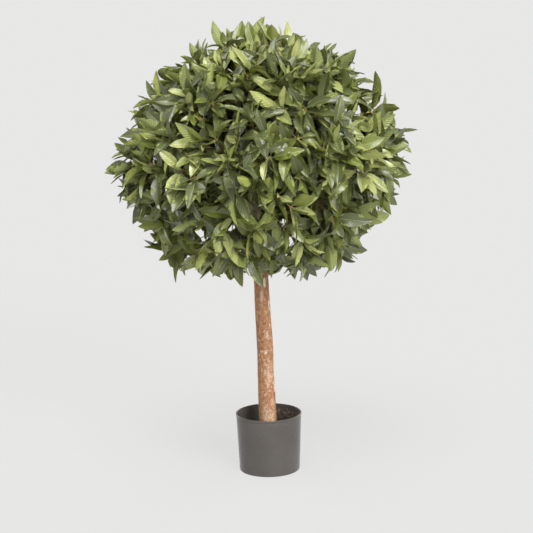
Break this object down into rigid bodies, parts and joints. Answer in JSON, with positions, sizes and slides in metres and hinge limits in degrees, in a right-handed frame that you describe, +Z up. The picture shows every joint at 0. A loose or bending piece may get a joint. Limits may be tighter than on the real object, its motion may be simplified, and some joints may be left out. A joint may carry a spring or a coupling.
{
  "type": "artificial standard bay tree in a pot",
  "caption": "Artificial bay tree: a leafy ball of bay foliage on a natural-wood stem, standing in a plain round grey plastic pot.",
  "frame": {"origin": "centre of the pot's flat underside", "axes": "+Z up along the stem, +X to the right and -Y towards the viewer as the tree stands"},
  "size_m": [0.7921, 0.7818, 1.1991],
  "materials": {
    "pot_plastic": "satin moulded plastic",
    "pot_filling": "rough dark set filling",
    "bark": "smooth natural bark with pale worn patches",
    "bough_wood": "dull natural wood",
    "foliage": "satin bay leaves"
  },
  "bodies": {
    "root": {"pot": "pot_plastic", "pot_filling": "pot_filling", "trunk": "bark", "bough_top": "bough_wood", "foliage_top": "foliage", "bough_upper_1": "bough_wood", "foliage_upper_1": "foliage", "bough_upper_2": "bough_wood", "foliage_upper_2": "foliage", "bough_upper_3": "bough_wood", "foliage_upper_3": "foliage", "bough_upper_4": "bough_wood", "foliage_upper_4": "foliage", "bough_upper_5": "bough_wood", "foliage_upper_5": "foliage", "bough_middle_1": "bough_wood", "foliage_middle_1": "foliage", "bough_middle_2": "bough_wood", "foliage_middle_2": "foliage", "bough_middle_3": "bough_wood", "foliage_middle_3": "foliage", "bough_middle_4": "bough_wood", "foliage_middle_4": "foliage", "bough_middle_5": "bough_wood", "foliage_middle_5": "foliage", "bough_middle_6": "bough_wood", "foliage_middle_6": "foliage", "bough_middle_7": "bough_wood", "foliage_middle_7": "foliage", "bough_middle_8": "bough_wood", "foliage_middle_8": "foliage", "bough_lower_1": "bough_wood", "foliage_lower_1": "foliage", "bough_lower_2": "bough_wood", "foliage_lower_2": "foliage", "bough_lower_3": "bough_wood", "foliage_lower_3": "foliage", "bough_lower_4": "bough_wood", "foliage_lower_4": "foliage", "bough_lower_5": "bough_wood", "foliage_lower_5": "foliage"}
  },
  "joints": []
}
